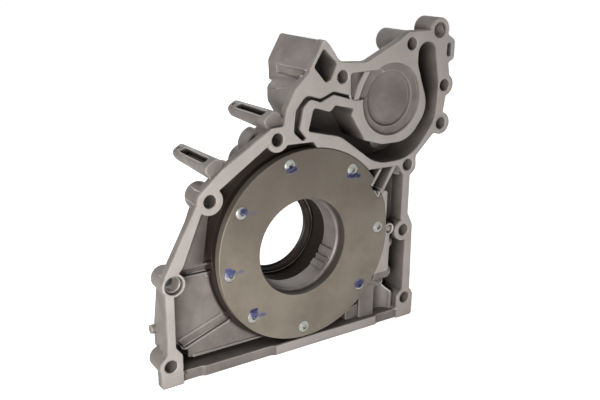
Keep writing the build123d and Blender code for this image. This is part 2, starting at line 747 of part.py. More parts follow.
def pump_cuts():
    """Cover plate seat, rotor pocket, front bore, seal seat and oil ports."""
    x, z = delivery_place
    kidney_size = kidney_end - kidney_start
    plate_seat = rod(eccentricity, 0, plate_radius + plate_gap, -1, plate_thickness)
    port_holes = two_ears(x, z, delivery_bolt_reach, sump_hole_radius, delivery_bolt_angle,
                          delivery_end - sump_hole_depth, delivery_end + 1)
    return port_holes + [
        plate_seat - slab(grown(plate_notch(), -plate_gap), -20, plate_thickness + 1),
        slab(rib_gap(), -1, 20.0),
        rod(eccentricity, 0, outer_rotor_radius + pocket_gap, plate_thickness - 1, pocket_end),
        rod(0, 0, front_bore_radius, pocket_end - 1, seal_boss_end + 1),
        rod(0, 0, seal_radius, seal_start, seal_boss_end + 1),
        kidney(kidney_start, kidney_size),
        kidney(-kidney_end, kidney_size),
        post(suction_x, suction_y, suction_bore_radius, base_height - 1, -50.0),
        delivery_duct(delivery_duct_width / 2, delivery_duct_start, delivery_duct_end),
        rod(x, z, delivery_bore_radius, delivery_duct_start, delivery_end + 1),
        bar(gallery_y, gallery_height, gallery_radius, 50.0, gallery_end),
        bar(gallery_y, gallery_height, gallery_plug_radius, gallery_end - gallery_plug_length, gallery_end + 1),
    ]


def hole_cuts():
    """Bolt, dowel, screw and pin holes of the gasket face."""
    cuts = [
        rod(ear_x, ear_z, insert_outer_radius, -1, insert_length + 1),
        rod(ear_x, ear_z, ear_hole_radius - 0.6, insert_length, short_column + 1),
    ]
    for name in sunk_heads:
        x, z, _, depth = bolt_holes[name]
        cuts.append(rod(x, z, head_room_radius, depth, box_end + 1))
    for x, z, _, _ in bolt_holes.values():
        cuts.append(rod(x, z, bolt_hole_radius, -1, deep_wall_end + 10))
        cuts.append(cone(x, z, bolt_hole_radius + bolt_hole_chamfer + 1, bolt_hole_radius, -1, bolt_hole_chamfer))
    left_x, left_z, _, _ = bolt_holes["left"]
    cuts.append(rod(left_x, left_z, sleeve_outer_radius + dowel_counterbore_gap, -1, sleeve_sink + sleeve_length))
    for angle in screw_angles:
        x, z = on_plate(angle, screw_circle_radius)
        cuts.append(rod(x, z, screw_radius, plate_thickness - 1, screw_length + screw_hole_spare))
    for angle in plate_pin_angles:
        x, z = on_plate(angle, screw_circle_radius)
        pin_end = plate_thickness - plate_pin_depth + plate_pin_length + 2 * plate_pin_gap
        cuts.append(rod(x, z, plate_pin_radius, plate_thickness - 1, pin_end))
    for index in range(sump_hole_count):
        x = sump_hole_start + index * sump_hole_spacing
        cuts.append(post(x, sump_hole_y, sump_hole_radius, base_height - 1, rail_top + 1))
    return cuts


def casting_cuts():
    """All that is bored, drilled or cored."""
    _, floor_channels = raised_floor()
    post_cuts = []
    for x, z in post_places:
        post_cuts += front_post(x, z)[1:]
    return (coolant_cuts() + pump_cuts() + hole_cuts() + floor_channels + post_cuts
            + relief_column_bores() + strip_cuts() + [lug_slot(), corner_trough()])


def housing():
    """The aluminium casting."""
    return casting_blank().fuse(*casting_forms()).cut(*casting_cuts())


def cover_plate():
    """The round steel plate that closes the rotor pocket."""
    plate = rod(eccentricity, 0, plate_radius, 0, plate_thickness)
    plate = chamfer(plate.edges(), plate_chamfer)
    plate -= rod(0, 0, crank_hole_radius, -1, plate_thickness + 1)
    plate -= slab(plate_notch(), -1, plate_thickness + 1)
    cuts = []
    for angle in screw_angles:
        x, z = on_plate(angle, screw_circle_radius)
        hole_radius = screw_radius + screw_hole_gap
        cone_end = screw_seat + screw_head_radius - hole_radius
        cuts.append(rod(x, z, hole_radius, -1, plate_thickness + 1))
        cuts.append(rod(x, z, screw_head_radius + countersink_gap, -1, screw_seat))
        cuts.append(cone(x, z, screw_head_radius, hole_radius, screw_seat, cone_end))
    for angle in plate_pin_angles:
        x, z = on_plate(angle, screw_circle_radius)
        cuts.append(rod(x, z, plate_pin_radius + plate_pin_gap, plate_thickness - plate_pin_depth,
                        plate_thickness + 1))
    return plate.cut(*cuts)


def cover_screw(x, z):
    """Countersunk screw with a low domed head and a six-lobed socket."""
    dome_sag = screw_dome_height
    dome_radius = (screw_head_radius ** 2 + dome_sag ** 2) / (2 * dome_sag)
    head_top = screw_seat - screw_head_land
    ball = Pos(x, head_top - dome_sag + dome_radius, z) * Sphere(dome_radius)
    dome = ball & rod(x, z, screw_head_radius, head_top - dome_sag, screw_seat)
    cone_end = screw_seat + screw_head_radius - screw_radius + screw_thread_gap
    head = cone(x, z, screw_head_radius, screw_radius - screw_thread_gap, screw_seat, cone_end)
    shank = rod(x, z, screw_radius - screw_thread_gap, cone_end, screw_length)
    socket_top = head_top - dome_sag
    sockets = [rod(x, z, torx_core_radius, socket_top - 1, socket_top + torx_depth)]
    for turn in range(6):
        angle = math.radians(60 * turn)
        lobe_x = x + torx_lobe_circle * math.cos(angle)
        lobe_z = z + torx_lobe_circle * math.sin(angle)
        sockets.append(rod(lobe_x, lobe_z, torx_lobe_radius, socket_top - 1, socket_top + torx_depth))
    return (dome + head + shank).cut(*sockets)


def cover_screws():
    """All the screws of the cover plate."""
    screws = [cover_screw(*on_plate(angle, screw_circle_radius)) for angle in screw_angles]
    return Compound([screw.solids()[0] for screw in screws])


def plate_pins():
    """Two pins that centre the cover plate on the casting."""
    pins = []
    for angle in plate_pin_angles:
        x, z = on_plate(angle, screw_circle_radius)
        start = plate_thickness - plate_pin_depth + plate_pin_gap
        pin = rod(x, z, plate_pin_radius, start, start + plate_pin_length)
        pins.append(chamfer(pin.edges(), plate_pin_radius * 0.16).solids()[0])
    return Compound(pins)


def lobe_point(angle):
    """Point of the inner rotor's edge, which every tooth of the outer rotor rolls along."""
    turn = math.sin(-lobe_count * angle)
    base = tooth_pitch_radius / (eccentricity * tooth_count) - math.cos(-lobe_count * angle)
    lean = math.atan2(turn, base)
    reach = tooth_radius + lobe_gap
    x = (tooth_pitch_radius * math.cos(angle) - reach * math.cos(angle + lean)
         - eccentricity * math.cos(tooth_count * angle))
    z = (tooth_pitch_radius * math.sin(angle) - reach * math.sin(angle + lean)
         - eccentricity * math.sin(tooth_count * angle))
    return Vector(-x, 0, -z)


def ring_sector(inner, outer, middle, span, y_start, y_end):
    """Piece of a ring about the crank axis."""
    low = math.radians(middle - span / 2)
    high = math.radians(middle + span / 2)
    mid = math.radians(middle)

    def spot(radius, angle):
        return Vector(radius * math.cos(angle), 0, radius * math.sin(angle))

    edge = Wire([
        Edge.make_three_point_arc(spot(inner, low), spot(inner, mid), spot(inner, high)),
        Edge.make_line(spot(inner, high), spot(outer, high)),
        Edge.make_three_point_arc(spot(outer, high), spot(outer, mid), spot(outer, low)),
        Edge.make_line(spot(outer, low), spot(inner, low)),
    ])
    return slab(Face(edge), y_start, y_end)


def inner_rotor():
    """Driven rotor, with the lugs that the crankshaft turns it by."""
    step = 2 * math.pi / lobe_count
    lobes = []
    for lobe in range(lobe_count):
        angles = [step * (lobe + part / points_per_lobe) for part in range(points_per_lobe + 1)]
        start = angles[0]
        end = angles[-1]
        tangents = [(math.sin(start), 0, -math.cos(start)), (math.sin(end), 0, -math.cos(end))]
        lobes.append(Edge.make_spline([lobe_point(angle) for angle in angles], tangents=tangents))
    rotor = slab(Face(Wire(lobes)), rotor_start, rotor_end)
    cuts = [rod(0, 0, rotor_bore_radius, rotor_start - 1, rotor_end + 1)]
    wide = rotor_bore_radius + rotor_bore_chamfer
    cuts.append(cone(0, 0, wide + 1, rotor_bore_radius, rotor_start - 1, rotor_start + rotor_bore_chamfer))
    cuts.append(cone(0, 0, rotor_bore_radius, wide + 1, rotor_end - rotor_bore_chamfer, rotor_end + 1))
    rotor = rotor.cut(*cuts)
    low = rotor_start + lug_end_gap
    high = rotor_end - lug_end_gap
    lug_top = rotor_bore_radius - lug_height
    lugs = [ring_sector(lug_top, rotor_bore_radius + 1, angle, lug_span, low, high) for angle in lug_angles]
    rotor = rotor.fuse(*lugs)
    slots = []
    for angle in lug_angles:
        for offset_angle in lug_slot_angles:
            width = math.degrees(lug_slot_width / lug_top)
            slots.append(ring_sector(lug_top - 1, lug_top + lug_slot_depth, angle + offset_angle, width,
                                     low - 1, high + 1))
    return rotor.cut(*slots)


def outer_rotor():
    """Driven ring with one tooth more than the inner rotor has lobes."""
    hollow = rod(0, 0, root_radius, rotor_start - 1, rotor_end + 1)
    teeth = []
    for tooth in range(tooth_count):
        angle = math.pi + 2 * math.pi * tooth / tooth_count
        teeth.append(rod(tooth_pitch_radius * math.cos(angle), tooth_pitch_radius * math.sin(angle),
                         tooth_radius, rotor_start - 2, rotor_end + 2))
    ring = rod(0, 0, outer_rotor_radius, rotor_start, rotor_end)
    ring = chamfer(ring.edges(), outer_rotor_chamfer)
    return Pos(eccentricity, 0, 0) * (ring - hollow.cut(*teeth))


def turned(*points):
    """Ring about the crank axis from the radius and depth of its corners."""
    face = Face(Wire.make_polygon([(radius, depth, 0) for radius, depth in points], close=True))
    return revolve(face, Axis.Y, 360)


def seal_case():
    """Steel case of the front crankshaft seal."""
    outer = seal_radius
    inner = seal_radius - seal_case_wall
    start = seal_start + seal_backing_gap
    flange_end = seal_flange_start + seal_case_wall
    return turned((inner, start), (outer, start), (outer, flange_end), (seal_inner_flange, flange_end),
                  (seal_inner_flange, seal_flange_start), (inner, seal_flange_start))


def seal_lip():
    """Rubber lip that runs on the crankshaft."""
    arm = seal_arm_radius
    flange_end = seal_flange_start + seal_case_wall
    edge = seal_lip_radius + 0.4
    return turned((arm, garter_depth - 2.4), (arm - lip_thickness - 0.3, garter_depth - 2.4),
                  (edge, garter_depth), (arm - lip_thickness, garter_depth + 2.6),
                  (arm - lip_thickness, flange_end), (seal_inner_flange, flange_end),
                  (seal_inner_flange, seal_flange_start), (arm, seal_flange_start - 0.7))


def seal_garter_spring():
    """Ring spring that keeps the lip on the shaft."""
    ring = Rot(90, 0, 0) * Torus(garter_circle_radius, garter_wire_radius)
    return Pos(0, garter_depth, 0) * ring


def seal_dust_ring():
    """Outer ring that keeps dirt from the lip."""
    start = seal_flange_start + seal_case_wall
    end = start + dust_ring_thickness
    outer = seal_radius - seal_case_wall - 1.0
    return turned((seal_lip_radius, end), (seal_lip_radius + 2.0, start), (outer, start), (outer, end))


def dowel_sleeve():
    """Split-free steel sleeve that centres the cover on the crankcase."""
    x, z, _, _ = bolt_holes["left"]
    start = sleeve_sink
    sleeve = rod(x, z, sleeve_outer_radius, start, start + sleeve_length)
    sleeve = chamfer(sleeve.edges(), sleeve_chamfer)
    bore_radius = bolt_hole_radius + 0.4
    sleeve -= rod(x, z, bore_radius, start - 1, start + sleeve_length + 1)
    return sleeve - cone(x, z, bore_radius + sleeve_chamfer + 1, bore_radius, start - 1, start + sleeve_chamfer)


def ear_thread_insert():
    """Steel thread insert in the ear at the top right."""
    bush = rod(ear_x, ear_z, insert_outer_radius - dowel_counterbore_gap, 0.4, insert_length)
    bush -= rod(ear_x, ear_z, ear_hole_radius, 0, insert_length + 1)
    return bush - cone(ear_x, ear_z, ear_hole_radius + 0.9, ear_hole_radius, 0.3, 1.2)


def relief_piston():
    """Hollow piston of the pressure relief valve."""
    radius = valve_bore_radius - piston_gap
    low = valve_bore_top - piston_length
    piston = post(valve_x, valve_y, radius, low, valve_bore_top)
    piston = chamfer(piston.edges().sort_by(Axis.Z)[-1], 0.8)
    piston -= post(valve_x, valve_y, radius - piston_wall, low - 1, valve_bore_top - piston_crown)
    for level in (0.35, 0.6):
        height = low + piston_length * level
        groove = post(valve_x, valve_y, radius + 1, height, height + 1.2)
        piston -= groove - post(valve_x, valve_y, radius - piston_groove_depth, height - 1, height + 2)
    return piston


def relief_spring():
    """Coil spring under the relief piston."""
    low = valve_plug_top + spring_wire_radius
    high = valve_bore_top - piston_crown - spring_wire_radius
    height = high - low
    path = Helix(pitch=height / spring_turns, height=height, radius=spring_mean_radius)
    section = Plane(origin=path @ 0, z_dir=path % 0) * Circle(spring_wire_radius)
    return Pos(valve_x, valve_y, low) * sweep(section, path=path)


def relief_plug():
    """Screw plug that closes the relief valve from below."""
    low = base_height + plug_sink
    plug = post(valve_x, valve_y, plug_radius - screw_thread_gap, low, valve_plug_top)
    plug = chamfer(plug.edges(), 0.8)
    plug += post(valve_x, valve_y, plug_spigot_radius, valve_plug_top, valve_plug_top + plug_spigot_length)
    hexagon = RegularPolygon(plug_hex / 2, 6, major_radius=False)
    return plug - Pos(valve_x, valve_y, low) * extrude(hexagon, amount=plug_hex_depth)


def relief_plug_washer():
    """Soft sealing ring between the plug and the bore's shoulder."""
    high = valve_plug_top + washer_thickness
    ring = post(valve_x, valve_y, plug_radius - 0.15, valve_plug_top, high)
    return ring - post(valve_x, valve_y, spring_mean_radius + spring_wire_radius + 0.2, valve_plug_top - 1, high + 1)


def valve_ball():
    """Steel ball that closes the drilling into the relief valve."""
    x, z = valve_ball_place
    return Pos(x, valve_ball_depth, z) * Sphere(valve_ball_radius - 0.03)


def gallery_plug():
    """Screw plug with a collar that closes the side gallery."""
    seat = gallery_end + washer_thickness
    thread = bar(gallery_y, gallery_height, gallery_plug_radius - screw_thread_gap,
                 gallery_end - gallery_plug_length + 1, seat)
    head = bar(gallery_y, gallery_height, gallery_plug_head_radius, seat, seat + gallery_plug_head)
    head = chamfer(head.edges().sort_by(Axis.X)[-1], 1.0)
    hexagon = RegularPolygon(plug_hex / 2, 6, major_radius=False)
    socket = Pos(seat + gallery_plug_head - plug_hex_depth, gallery_y, gallery_height) * Rot(0, 90, 0) * extrude(
        hexagon, amount=plug_hex_depth + 1)
    return thread + head - socket


def gallery_plug_washer():
    """Copper sealing ring under the gallery plug."""
    ring = bar(gallery_y, gallery_height, gallery_plug_head_radius + 0.5, gallery_end,
               gallery_end + washer_thickness)
    return ring - bar(gallery_y, gallery_height, gallery_plug_radius + 0.1, gallery_end - 1,
                      gallery_end + washer_thickness + 1)


def core_plug():
    """Pressed cup that closes the casting's core hole behind the coolant channel."""
    x, z = core_plug_place
    radius = core_plug_radius - dowel_counterbore_gap
    start = volute_end - core_plug_depth + 0.5
    cup = rod(x, z, radius, start, volute_end - 0.3)
    cup = fillet(cup.edges().sort_by(Axis.Y)[0], core_plug_wall)
    return cup - rod(x, z, radius - core_plug_wall, start + core_plug_wall, volute_end + 1)


pieces = {
    "housing": housing,
    "cover_plate": cover_plate,
    "cover_screws": cover_screws,
    "plate_pins": plate_pins,
    "inner_rotor": inner_rotor,
    "outer_rotor": outer_rotor,
    "seal_case": seal_case,
    "seal_lip": seal_lip,
    "seal_garter_spring": seal_garter_spring,
    "seal_dust_ring": seal_dust_ring,
    "dowel_sleeve": dowel_sleeve,
    "ear_thread_insert": ear_thread_insert,
    "relief_piston": relief_piston,
    "relief_spring": relief_spring,
    "relief_plug": relief_plug,
    "relief_plug_washer": relief_plug_washer,
    "relief_gallery_ball": valve_ball,
    "gallery_plug": gallery_plug,
    "gallery_plug_washer": gallery_plug_washer,
    "core_plug": core_plug,
}
for name, make in pieces.items():
    export_step(make(), f"parts/{name}.step")
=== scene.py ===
import math

import bmesh
import bpy
from mathutils import Matrix, Vector
from mathutils.bvhtree import BVHTree


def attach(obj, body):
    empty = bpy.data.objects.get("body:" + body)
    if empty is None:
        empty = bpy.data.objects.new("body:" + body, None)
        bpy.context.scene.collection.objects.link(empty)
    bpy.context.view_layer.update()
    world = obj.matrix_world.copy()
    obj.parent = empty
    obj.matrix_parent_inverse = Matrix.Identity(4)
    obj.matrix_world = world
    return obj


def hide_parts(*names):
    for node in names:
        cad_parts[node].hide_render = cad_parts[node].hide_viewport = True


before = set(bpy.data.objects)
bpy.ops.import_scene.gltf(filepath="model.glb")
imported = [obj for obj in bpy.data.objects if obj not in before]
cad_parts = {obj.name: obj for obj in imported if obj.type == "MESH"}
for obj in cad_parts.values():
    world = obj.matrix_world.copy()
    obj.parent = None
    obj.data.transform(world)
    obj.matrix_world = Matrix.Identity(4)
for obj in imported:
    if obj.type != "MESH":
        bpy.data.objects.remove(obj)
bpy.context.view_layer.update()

MM = 0.001

# Places on the cover, in millimetres of the shared frame
PLATE_CENTRE = (5.0, 0.0)
SCREW_CIRCLE = 80.0
BOLT_HOLES = (
    (-131.7, -81.2), (-91.7, 58.1), (-27.4, 101.8), (38.3, 149.7), (115.2, 173.8),
    (158.3, 132.8), (156.8, 96.0), (118.0, 60.0), (117.0, -6.0), (123.5, -80.0))
BOLT_HOLE_RADIUS = 5.6
BOLT_HOLE_MARGIN = 0.25
CRANK_HOLE_RADIUS = 45.7
FRONT_BORE_RADIUS = 43.4
RING_PITCH = 1.6

# Milled faces lie before this depth and face the engine at least this squarely
MILLED_DEPTH = 1.3
MILLED_FACING = -0.97

# Painted shade in the gap round the plate and on the wall to its upper left, each from where it
# begins to where it ends: distance from the plate's centre, depth, then the sides and the height
GAP_REACH = (94.0, 97.0)
WALL_REACH = (98.0, 132.0)
DARK_FROM_DEPTH = (1.2, 4.0)
DARK_TO_DEPTH = (20.5, 21.3)
DARK_TO_RIGHT = (5, 30)
WALL_FROM_HEIGHT = (-14.0, 8.0)

# Height over which painted shade darkens the plate upwards, and the turn of its grinding marks in
# degrees
PLATE_DARKENS = (-25, 80)
MARKS_TURN = 38

# Threaded bush of the ear: its place in x and z, outer and inner radius, start and end along y,
# and the number of its sides
BUSH_PLACE = (148.0, 184.5)
BUSH_RADII = (6.97, 6.72)
BUSH_ENDS = (0.45, 15.9)
BUSH_SIDES = 64

# Its thread: pitch, radius of the crest, how far the ridge stands in the wall, half the ridge's
# width at the wall and at the crest, and steps in one turn
THREAD_PITCH = 2.4
THREAD_CORE = 6.03
THREAD_SUNK = 0.1
THREAD_FOOT = 0.34 * THREAD_PITCH
THREAD_CREST = 0.1 * THREAD_PITCH
THREAD_STEPS = 48

# Changes to the casting: the two rimmed troughs are shallow, and open at their ends. Each block
# has four corners in x and z, and a start and an end along y
TROUGHS = (
    ("UNION", ((-118.4, -8.6), (-87.0, -9.2), (-87.0, -1.9), (-118.4, -1.9)), 17.0, 20.4),
    ("UNION", ((-112.3, -75.8), (-67.4, -59.4), (-72.6, -51.3), (-117.7, -67.2)), 17.0, 20.4),
    ("DIFFERENCE", ((-120.5, -8.0), (-84.6, -8.6), (-84.6, -2.4), (-120.5, -2.4)), 12.0, 17.2),
    ("DIFFERENCE", ((-114.0, -75.7), (-65.4, -58.1), (-70.2, -51.0), (-119.4, -68.3)), 12.0, 17.2),
)

# Rounding: edges sharper than this many degrees are rounded, and smooth shading ends above the
# second. The rest are shares of the rounding's width: how far a corner and a face's middle may
# leave the old surface, from where on a corner of such a face counts as torn, how far from a torn
# place the edges stay sharp, and from where on a corner is put back on the old surface
EDGE_ANGLE = 32
SMOOTH_ANGLE = 35
CORNER_LIMIT = 1.2
FACE_LIMIT = 1.1
TORN_CORNER = 0.2
SHARP_REACH = 2
SNAP_LIMIT = 0.6

# Points of a mesh that are closer than this, in metres, are one
MERGE_DISTANCE = 1e-5

# Marking paint at the cover screws, by the screw's angle round the plate: offset in x and z, half
# sizes in x and z, turn in degrees, and strength. Depth and half depth are the same for all
SCREW_DABS = {
    147.6: ((0.8, 1.9, 4.2, 2.8, -25, 1.0), (3.8, 0.4, 2.2, 3.2, 0, 0.6),
            (10.0, -1.3, 5.5, 1.3, 5, 0.3)),
    104.3: ((0.8, -3.4, 5.6, 3.4, 10, 0.95), (4.8, -3.4, 2.8, 2.8, 0, 1.0)),
    53.7: ((-0.2, -5.4, 6.6, 3.2, 5, 1.0), (5.6, -6.2, 4.6, 2.4, 25, 1.0)),
    -40.7: ((-0.8, 1.4, 6.4, 4.8, -20, 0.9), (-5.0, 2.5, 2.2, 3.2, 0, 0.5)),
    -135.5: ((0.8, 2.4, 5.2, 4.2, 0, 0.6), (0.4, 6.4, 4.8, 2.4, -10, 1.0),
             (9.2, 0.4, 4.8, 1.9, 0, 0.5)),
    -171.9: ((-0.4, 2.6, 5.8, 4.2, 0, 0.62), (-2.8, 6.2, 3.6, 2.0, 0, 0.5),
             (9.4, 2.0, 4.4, 1.9, 0, 0.3)),
}
SCREW_DAB_DEPTH = -0.5
SCREW_DAB_HALF_DEPTH = 4.0

# Marking paint at the roots of the two long posts: place, half sizes, turn and strength
POST_DABS = (
    (-74.0, 14.0, 79.0, 10.0, 8.0, 4.0, 30, 0.75),
    (-20.0, 14.0, 112.0, 7.0, 6.0, 4.0, 30, 0.6),
)

# Colours of the marking paint, thick and thin
MARKING_BLUE = (0.018, 0.019, 0.058)
THIN_BLUE = (0.068, 0.077, 0.190)

# Colours of the casting: skin and milled faces from dark to light, dirt and painted shade in
# hollows, painted shade in deep places, drilling rings with painted shade in the bolt holes, worn
# edges with painted highlights, painted shade in the gap round the plate and painted shade in the
# front bore
CAST_SKIN = ((0.154, 0.134, 0.120), (0.228, 0.203, 0.185))
CAST_MILLED = ((0.345, 0.310, 0.285), (0.385, 0.350, 0.325))
CAST_DIRT_AND_SHADE = (0.085, 0.070, 0.062)
CAST_SHADE = (0.034, 0.028, 0.025)
CAST_RINGS_AND_SHADE = ((0.05, 0.041, 0.036), (0.26, 0.23, 0.21))
CAST_EDGE_WEAR_AND_SHEEN = (0.56, 0.53, 0.50)
PAINTED_GAP_SHADE = (0.022, 0.016, 0.013)
PAINTED_BORE_SHADE = (0.016, 0.011, 0.009)

# Colours of the cover plate: clouds from dark to light, grinding marks, painted shade on its upper
# part, painted shade on the wall of its hole and worn edges with painted highlights
PLATE_CLOUDS = ((0.146, 0.120, 0.092), (0.226, 0.196, 0.157))
PLATE_MARKS = (0.34, 0.305, 0.255)
PLATE_UPPER_SHADE = (0.080, 0.066, 0.055)
PLATE_HOLE_SHADE = (0.034, 0.026, 0.022)
PLATE_EDGE_WEAR_AND_SHEEN = (0.50, 0.47, 0.42)

# Colours of the screws, with dirt and painted shade in their hollows, of dirt and painted shade in
# the hollows of plain metals, and of the seal's rubber
ZINC = ((0.27, 0.275, 0.25), (0.40, 0.405, 0.38))
ZINC_DIRT_AND_SHADE = (0.04, 0.04, 0.05)
METAL_DIRT_AND_SHADE = (0.03, 0.026, 0.022)
RUBBER = ((0.016, 0.010, 0.008), (0.034, 0.022, 0.017))

# Plain metals: dark and light colour, roughness, reach of the dirt and painted shade in hollows in
# millimetres, its share, and how metallic the surface is
METALS = {
    "rotor_steel": ((0.125, 0.108, 0.097), (0.185, 0.165, 0.15), 0.5, 8.0, 0.9, 0.35),
    "seal_case_steel": ((0.010, 0.007, 0.006), (0.020, 0.014, 0.012), 0.6, 6.0, 0.6, 0.0),
    "bright_steel": ((0.40, 0.37, 0.34), (0.52, 0.49, 0.46), 0.36, 5.0, 0.7, 0.7),
    "sleeve_steel": ((0.20, 0.18, 0.16), (0.30, 0.27, 0.245), 0.5, 9.0, 0.9, 0.4),
    "ball_steel": ((0.22, 0.19, 0.17), (0.29, 0.26, 0.235), 0.56, 4.0, 0.7, 0.35),
    "thread_steel": ((0.085, 0.070, 0.060), (0.150, 0.128, 0.112), 0.4, 2.0, 0.95, 0.5),
    "plug_steel": ((0.34, 0.33, 0.29), (0.46, 0.45, 0.40), 0.38, 6.0, 0.6, 0.7),
    "copper_ring": ((0.42, 0.20, 0.12), (0.56, 0.30, 0.19), 0.4, 6.0, 0.6, 0.7),
}

# How much brighter than its light colour a metal's worn edge is, with its painted highlight
EDGE_WEAR_AND_SHEEN = 1.6

# Finish of the pieces that keep their shape
FINISHES = {
    "cover_screws": "zinc_screw",
    "outer_rotor": "rotor_steel",
    "plate_pins": "bright_steel",
    "seal_case": "seal_case_steel",
    "seal_lip": "seal_rubber",
    "seal_dust_ring": "seal_rubber",
    "seal_garter_spring": "bright_steel",
    "dowel_sleeve": "sleeve_steel",
    "relief_piston": "bright_steel",
    "relief_spring": "bright_steel",
    "relief_plug": "plug_steel",
    "relief_plug_washer": "copper_ring",
    "relief_gallery_ball": "ball_steel",
    "gallery_plug": "plug_steel",
    "gallery_plug_washer": "copper_ring",
    "core_plug": "plug_steel",
}

# The photograph's view: place in metres, turn, dip and roll in degrees, focal length
CAMERA_PLACE = (-0.3570, -0.5348, 0.2552)
CAMERA_TURN = -33.38
CAMERA_DIP = 18.15
CAMERA_ROLL = 0.77
CAMERA_LENS = 46.2

# Lamps: place, the point they look at, size and power
LAMPS = {
    "key_lamp": ((-0.54, -0.50, -0.01), (-0.08, 0, -0.03), 0.45, 9),
    "fill_lamp": ((1.3, -1.6, 0.7), (0, 0, 0.02), 1.6, 0.8),
    "top_lamp": ((-0.42, 0.22, 0.62), (0, 0.03, 0.14), 0.4, 0.75),
    "back_lamp": ((0.5, 1.7, 0.6), (0, 0, 0.03), 1.5, 14),
}

# Light of the white surroundings, as seen and as it falls on the object
WHITE = (1, 1, 1)
SEEN_STRENGTH = 1.0
GLOW_STRENGTH = 0.12

# Floor: height in millimetres, radius in metres, its grey, and its own light where it is seen
FLOOR_HEIGHT = -101.0
FLOOR_RADIUS = 6
FLOOR_GREY = (0.80, 0.80, 0.80)
FLOOR_LIFT = 0.93


# Building blocks of materials

def feed(tree, socket, value):
    """Gives a socket its number, its colour or its link."""
    if isinstance(value, (int, float)):
        socket.default_value = value
    elif isinstance(value, tuple):
        socket.default_value = (*value, 1)
    else:
        tree.links.new(value, socket)


def math_node(tree, operation, first, second=None, clamp=False):
    """Math node whose inputs are numbers or sockets; gives its output."""
    node = tree.nodes.new("ShaderNodeMath")
    node.operation = operation
    node.use_clamp = clamp
    feed(tree, node.inputs[0], first)
    if second is not None:
        feed(tree, node.inputs[1], second)
    return node.outputs[0]


def times(tree, first, second):
    """Product of two values."""
    return math_node(tree, "MULTIPLY", first, second)


def one_minus(tree, value, clamp=False):
    """What is left of 1 without the value."""
    return math_node(tree, "SUBTRACT", 1.0, value, clamp)


def ramp_between(tree, value, low, high):
    """0 below low and 1 above high, with a soft step between them."""
    node = tree.nodes.new("ShaderNodeMapRange")
    node.interpolation_type = "SMOOTHSTEP"
    feed(tree, node.inputs["Value"], value)
    feed(tree, node.inputs["From Min"], low)
    feed(tree, node.inputs["From Max"], high)
    return node.outputs["Result"]


def ramp_mm(tree, value, ends):
    """0 before the first and 1 after the second of two lengths in millimetres."""
    return ramp_between(tree, value, ends[0] * MM, ends[1] * MM)


def noise(tree, vector, scale, detail=4.0, roughness=0.55):
    """Noise value over the object."""
    node = tree.nodes.new("ShaderNodeTexNoise")
    feed(tree, node.inputs["Vector"], vector)
    feed(tree, node.inputs["Scale"], scale)
    feed(tree, node.inputs["Detail"], detail)
    feed(tree, node.inputs["Roughness"], roughness)
    return node.outputs["Fac"]


def axes_of(tree, vector):
    """The three parts of a vector, by their letters."""
    node = tree.nodes.new("ShaderNodeSeparateXYZ")
    tree.links.new(vector, node.inputs[0])
    return node.outputs


def squared_distance(tree, axes, x, z):
    """Square of the distance from the line along y through a place given in millimetres."""
    across = math_node(tree, "SUBTRACT", axes["X"], x * MM)
    up = math_node(tree, "SUBTRACT", axes["Z"], z * MM)
    return math_node(tree, "ADD", times(tree, across, across), times(tree, up, up))


def mix_colour(tree, mask, first, second):
    """Colour that goes from the first to the second with the mask."""
    node = tree.nodes.new("ShaderNodeMix")
    node.data_type = "RGBA"
    for index, value in ((0, mask), (6, first), (7, second)):
        feed(tree, node.inputs[index], value)
    return node.outputs[2]


def tinted(tree, colour, mask, share, tint):
    """Colour that goes to the tint where the mask is 1, by this share at most."""
    return mix_colour(tree, times(tree, mask, share), colour, tint)


def new_group(name, inputs, outputs):
    """Empty node group. Its inputs come with their numbers, or with None for a vector."""
    group = bpy.data.node_groups.new(name, "ShaderNodeTree")
    for label, value in inputs.items():
        kind = "NodeSocketVector" if value is None else "NodeSocketFloat"
        socket = group.interface.new_socket(name=label, in_out="INPUT", socket_type=kind)
        if value is not None:
            socket.default_value = value
    for label in outputs:
        group.interface.new_socket(name=label, in_out="OUTPUT", socket_type="NodeSocketFloat")
    given = group.nodes.new("NodeGroupInput")
    result = group.nodes.new("NodeGroupOutput")
    return group, given.outputs, result.inputs


def place_group(tree, group, **values):
    """Puts a shared group in a material with its own values."""
    node = tree.nodes.new("ShaderNodeGroup")
    node.node_tree = group
    for label, value in values.items():
        feed(tree, node.inputs[label], value)
    return node.outputs


def new_material(name):
    """Material with its shader, its tree and the object's own coordinates."""
    material = bpy.data.materials.new(name)
    material.use_nodes = True
    tree = material.node_tree
    shader = tree.nodes["Principled BSDF"]
    coordinates = tree.nodes.new("ShaderNodeTexCoord").outputs["Object"]
    return material, tree, shader, coordinates


def add_bump(tree, shader, height, strength, distance):
    """Small relief on the surface."""
    bump = tree.nodes.new("ShaderNodeBump")
    feed(tree, bump.inputs["Strength"], strength)
    feed(tree, bump.inputs["Distance"], distance)
    feed(tree, bump.inputs["Height"], height)
    feed(tree, shader.inputs["Normal"], bump.outputs["Normal"])


# Studio

def add_camera():
    """Camera where the photograph was taken from."""
    data = bpy.data.cameras.new("photo_camera")
    data.lens = CAMERA_LENS
    data.clip_start = 0.05
    data.clip_end = 30
    camera = bpy.data.objects.new("photo_camera", data)
    bpy.context.collection.objects.link(camera)
    turn = Matrix.Rotation(math.radians(CAMERA_TURN), 4, "Z")
    dip = Matrix.Rotation(math.radians(90 - CAMERA_DIP), 4, "X")
    roll = Matrix.Rotation(math.radians(CAMERA_ROLL), 4, "Z")
    camera.matrix_world = Matrix.Translation(CAMERA_PLACE) @ turn @ dip @ roll
    bpy.context.scene.camera = camera


def add_soft_light(name, place, target, size, power):
    """One large soft lamp that looks at a point, and isn't seen itself."""
    data = bpy.data.lights.new(name, "AREA")
    data.shape = "DISK"
    data.size = size
    data.energy = power
    lamp = bpy.data.objects.new(name, data)
    bpy.context.collection.objects.link(lamp)
    lamp.visible_camera = False
    lamp.location = place
    lamp.rotation_euler = (Vector(target) - Vector(place)).to_track_quat("-Z", "Y").to_euler()


